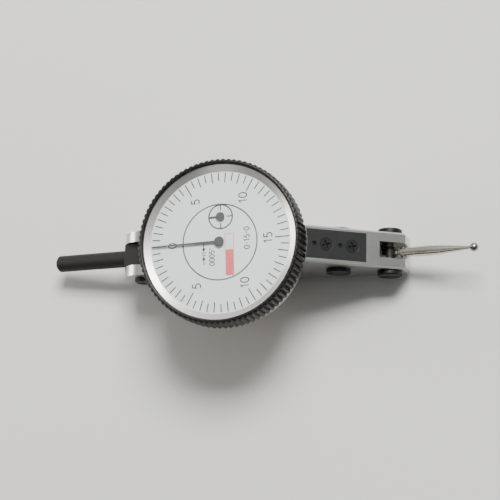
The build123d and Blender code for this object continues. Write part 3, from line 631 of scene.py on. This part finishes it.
class INDICATOR_OT_centre_print(IndicatorOperator, bpy.types.Operator):
    """Print the circles, division mark, range, arrows and colour bar on the fixed disc"""
    bl_idname = "indicator.centre_print"
    bl_label = "Centre print"

    def execute(self, context):
        sizes = context.scene.indicator_sizes
        low, high = CENTRE_FACE_Z, CENTRE_FACE_Z + sizes.ink_thickness
        lines = bmesh.new()
        ribbon(lines, arc((0, 0), sizes.inner_circle, sizes.inner_circle, 0, 357, 119),
               CIRCLE_LINE * MM, low, high, True)
        at = (COUNTER_AT.x, COUNTER_AT.y)
        ribbon(lines, arc(at, sizes.subdial_radius, sizes.subdial_radius, 0, 354, 59),
               COUNTER_LINE * MM, low, high, True)
        for quarter in range(4):
            way = ZERO_TURN + quarter * math.pi / 2
            ends = [polar(sizes.subdial_radius - d * MM, way) for d in QUARTER_MARK]
            ribbon(lines, [(x + at[0], y + at[1]) for x, y in ends],
                   QUARTER_MARK_WIDTH * MM, low, high)
        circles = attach(mesh_object("centre_circles", lines, finish("black_ink")), "body")
        words = bmesh.new()
        for text, (ahead, right), height, stroke in PRINTED_VALUES:
            write_digits(words, text, on_dial(ahead * MM, right * MM), height * MM, stroke * MM,
                         low, high)
        row, middle, half = ARROW_ROW * MM, ARROW_MIDDLE * MM, ARROW_HALF_WIDTH * MM
        for mirrored in (-1, 1):
            tip = on_dial(row, middle + mirrored * ARROW_TIP * MM)
            base = ARROW_BASE * MM * mirrored
            head = [tip, on_dial(row + half, middle + base), on_dial(row - half, middle + base)]
            prism(words, head if mirrored > 0 else head[::-1], low, high)
            line = [on_dial(row, middle + base), on_dial(row, middle + base * ARROW_TAIL)]
            ribbon(words, line, ARROW_LINE * MM, low, high)
            bar = [on_dial(end * MM, middle + mirrored * ARROW_BAR_AT * MM) for end in ARROW_BAR]
            ribbon(words, bar, ARROW_BAR_LINE * MM, low, high)
        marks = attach(mesh_object("centre_marks", words, finish("black_ink")), "body")
        bar = bmesh.new()
        near, far = BADGE_NEAR * MM, BADGE_FAR * MM
        left, split, right = BADGE_LEFT * MM, BADGE_SPLIT * MM, BADGE_RIGHT * MM
        prism(bar, [on_dial(near, left), on_dial(far, left), on_dial(far, split),
                    on_dial(near, split)], low, high)
        open_end = [on_dial(near, split), on_dial(near, right), on_dial(far, right),
                    on_dial(far, split)]
        ribbon(bar, open_end, BADGE_LINE * MM, low, high)
        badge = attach(mesh_object("colour_bar", bar, finish("red_ink")), "body")
        return {"FINISHED"}


class INDICATOR_OT_bezel(IndicatorOperator, bpy.types.Operator):
    """Cut the bezel's rounded knurl and its lip"""
    bl_idname = "indicator.bezel"
    bl_label = "Bezel"

    def execute(self, context):
        sizes = context.scene.indicator_sizes
        foot, top, crest = BEZEL_LOW.z, BEZEL_HIGH.z, BEZEL_CREST
        seat = DIAL_FACE_Z - 0.4 * MM
        groove_top, groove_foot = top - 0.23 * MM, top - 0.97 * MM
        profile = [
            # up the outside, with rounded edges
            (BEZEL_BORE, foot), (18.6 * MM, foot), (18.8 * MM, foot + 0.15 * MM),
            (crest, foot + 0.4 * MM), (crest, foot + 2.2 * MM), (crest, top - 2.6 * MM),
            (crest, top - 0.75 * MM), (18.88 * MM, top - 0.45 * MM),
            (18.62 * MM, top - 0.15 * MM), (18.4 * MM, top), (BEZEL_LIP + 0.1 * MM, top),
            # down the inside, past the lip and the crystal's groove
            (BEZEL_LIP, top - 0.1 * MM), (BEZEL_LIP, groove_top), (CRYSTAL_SEAT, groove_top),
            (CRYSTAL_SEAT, groove_foot), (RING_SEAT, groove_foot), (RING_SEAT, seat),
            (BEZEL_BORE, seat),
        ]
        count = sizes.knurl_count

        def shaped(r, z, angle):
            # rounded crests that meet in narrow grooves
            tooth = crest - sizes.knurl_depth * (1 - abs(math.cos(angle * count / 2)))
            return min(r, tooth) if r > KNURL_INNER else r

        bm = bmesh.new()
        lathe(bm, profile, count * STEPS_PER_KNURL, shaped)
        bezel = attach(mesh_object("knurled_bezel", bm, finish("black_anodised_knurl"), 50), "bezel")
        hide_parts("bezel_ring")
        dress("bright_turned_ring", "bright_inner_ring")
        dress("clear_acrylic", "crystal")
        dress("moulded_rubber", "crystal_gasket")
        dress("satin_enamel", "dial_scale_ring", "dial_centre_disc")
        return {"FINISHED"}


class INDICATOR_OT_hands(IndicatorOperator, bpy.types.Operator):
    """Paint the pointer, the counter hand and their hubs"""
    bl_idname = "indicator.hands"
    bl_label = "Hands"

    def execute(self, context):
        dress("painted_hand", "pointer", "pointer_hub", "counter_hand", "counter_hub")
        return {"FINISHED"}


class INDICATOR_OT_body(IndicatorOperator, bpy.types.Operator):
    """Finish the body, nose plate, caps, screws and washers"""
    bl_idname = "indicator.body"
    bl_label = "Body"

    def execute(self, context):
        dress("satin_chrome_plate", "body_frame")
        dress("black_oxide_steel", "nose_plate", "segment_bearing_caps", "crown_bearing_caps")
        dress("oiled_black_screws", "nose_plate_screws", "contact_pivot_screws", "stem_pivot_screws")
        dress("rolled_phosphor_bronze", "contact_washers")
        return {"FINISHED"}


class INDICATOR_OT_contact(IndicatorOperator, bpy.types.Operator):
    """Finish the stylus holder, contact shank, ball and measuring lever"""
    bl_idname = "indicator.contact"
    bl_label = "Contact"

    def execute(self, context):
        dress("oiled_black_screws", "stylus_holder", "measuring_lever")
        dress("fine_turned_steel", "contact_shank")
        dress("lapped_carbide", "contact_ball")
        return {"FINISHED"}


class INDICATOR_OT_stem(IndicatorOperator, bpy.types.Operator):
    """Coat the stem and its swivel block"""
    bl_idname = "indicator.stem"
    bl_label = "Stem"

    def execute(self, context):
        dress("coated_stem_steel", "stem", "stem_block")
        return {"FINISHED"}


class INDICATOR_OT_movement(IndicatorOperator, bpy.types.Operator):
    """Finish the pan, plates, wheels, arbors, screws and jewels"""
    bl_idname = "indicator.movement"
    bl_label = "Movement"

    def execute(self, context):
        dress("satin_nickelled_brass", "dial_pan", "lower_plate", "upper_plate")
        dress("milled_brass", "gear_segment", "crown_wheel", "counter_wheel",
              "counter_drive_pinion", "lower_pillars", "upper_pillars", "dial_feet")
        dress("polished_steel", "segment_arbor", "crown_pinion", "crown_arbor", "centre_arbor",
              "counter_arbor", "pan_screws", "movement_screws", "bezel_retaining_wire",
              "hairspring", "hairspring_stud")
        dress("polished_ruby", "jewels")
        return {"FINISHED"}


# ---- stage ------------------------------------------------------------------------------------


def aim(obj, at, target, up):
    """Puts an object at a place and points its -Z at the target."""
    back = (at - target).normalized()
    right = up.cross(back).normalized()
    turn = Matrix((right, back.cross(right), back)).transposed().to_4x4()
    obj.matrix_world = Matrix.Translation(at) @ turn


def soft_light(name, at, size, watts, hex_colour):
    """A rectangular area light that faces the indicator."""
    lamp = bpy.data.lights.new(name, "AREA")
    lamp.shape = "RECTANGLE"
    lamp.size, lamp.size_y = size
    lamp.energy = watts
    lamp.color = linear(hex_colour)[:3]
    obj = bpy.data.objects.new(name, lamp)
    bpy.context.scene.collection.objects.link(obj)
    aim(obj, Vector(at), TARGET, LIGHT_UP)


class INDICATOR_OT_stage(IndicatorOperator, bpy.types.Operator):
    """Set up the floor, soft lights and camera"""
    bl_idname = "indicator.stage"
    bl_label = "Stage"

    def execute(self, context):
        scene = context.scene
        bm = bmesh.new()
        half = FLOOR_HALF_WIDTH
        prism(bm, [(-half, -half), (half, -half), (half, half), (-half, half)],
              FLOOR_UNDERSIDE, -FLOOR_GAP)
        mesh_object("floor", bm, finish("matt_board"))
        for light in LIGHTS:
            soft_light(*light)
        world = bpy.data.worlds.new("studio")
        world.use_nodes = True
        tree = world.node_tree
        tree.nodes.clear()
        sky = add_node(tree, "ShaderNodeTexCoord")
        lean = add_node(tree, "ShaderNodeVectorMath", {"operation": "DOT_PRODUCT", 1: SKY_LEAN},
                        {0: (sky, "Generated")})
        glow = add_node(tree, "ShaderNodeValToRGB", links={"Fac": (lean, "Value")})
        ramp_colours(glow, SKY_STOPS)
        room = add_node(tree, "ShaderNodeBackground", {"Strength": SKY_STRENGTH},
                        {"Color": (glow, "Color")})
        add_node(tree, "ShaderNodeOutputWorld", links={"Surface": (room, "Background")})
        scene.world = world
        lens = bpy.data.cameras.new("camera")
        lens.lens = FOCAL_LENGTH
        lens.clip_start = NEAREST_SEEN
        camera = bpy.data.objects.new("camera", lens)
        scene.collection.objects.link(camera)
        aim(camera, CAMERA_AT, TARGET, CAMERA_UP)
        scene.camera = camera
        return {"FINISHED"}


class INDICATOR_PT_panel(bpy.types.Panel):
    """Builders and settings of the indicator"""
    bl_idname = "INDICATOR_PT_panel"
    bl_label = "Lever dial indicator"
    bl_space_type = "VIEW_3D"
    bl_region_type = "UI"
    bl_category = "Indicator"

    def draw(self, context):
        for operator in OPERATORS:
            self.layout.operator(operator.bl_idname)
        for group in (context.scene.indicator_sizes, context.scene.indicator_colours):
            box = self.layout.box()
            for name in group.bl_rna.properties.keys():
                if name not in ("rna_type", "name"):
                    box.prop(group, name)


OPERATORS = (
    INDICATOR_OT_body,
    INDICATOR_OT_bezel,
    INDICATOR_OT_scale,
    INDICATOR_OT_centre_print,
    INDICATOR_OT_hands,
    INDICATOR_OT_contact,
    INDICATOR_OT_stem,
    INDICATOR_OT_movement,
    INDICATOR_OT_stage,
)
CLASSES = (IndicatorColours, IndicatorSizes) + OPERATORS + (INDICATOR_PT_panel,)


def register():
    for cls in CLASSES:
        bpy.utils.register_class(cls)
    bpy.types.Scene.indicator_colours = PointerProperty(type=IndicatorColours)
    bpy.types.Scene.indicator_sizes = PointerProperty(type=IndicatorSizes)


def unregister():
    del bpy.types.Scene.indicator_sizes
    del bpy.types.Scene.indicator_colours
    for cls in reversed(CLASSES):
        bpy.utils.unregister_class(cls)


def main():
    register()
    for operator in OPERATORS:
        group, name = operator.bl_idname.split(".")
        getattr(getattr(bpy.ops, group), name)()


if __name__ == "__main__":
    main()
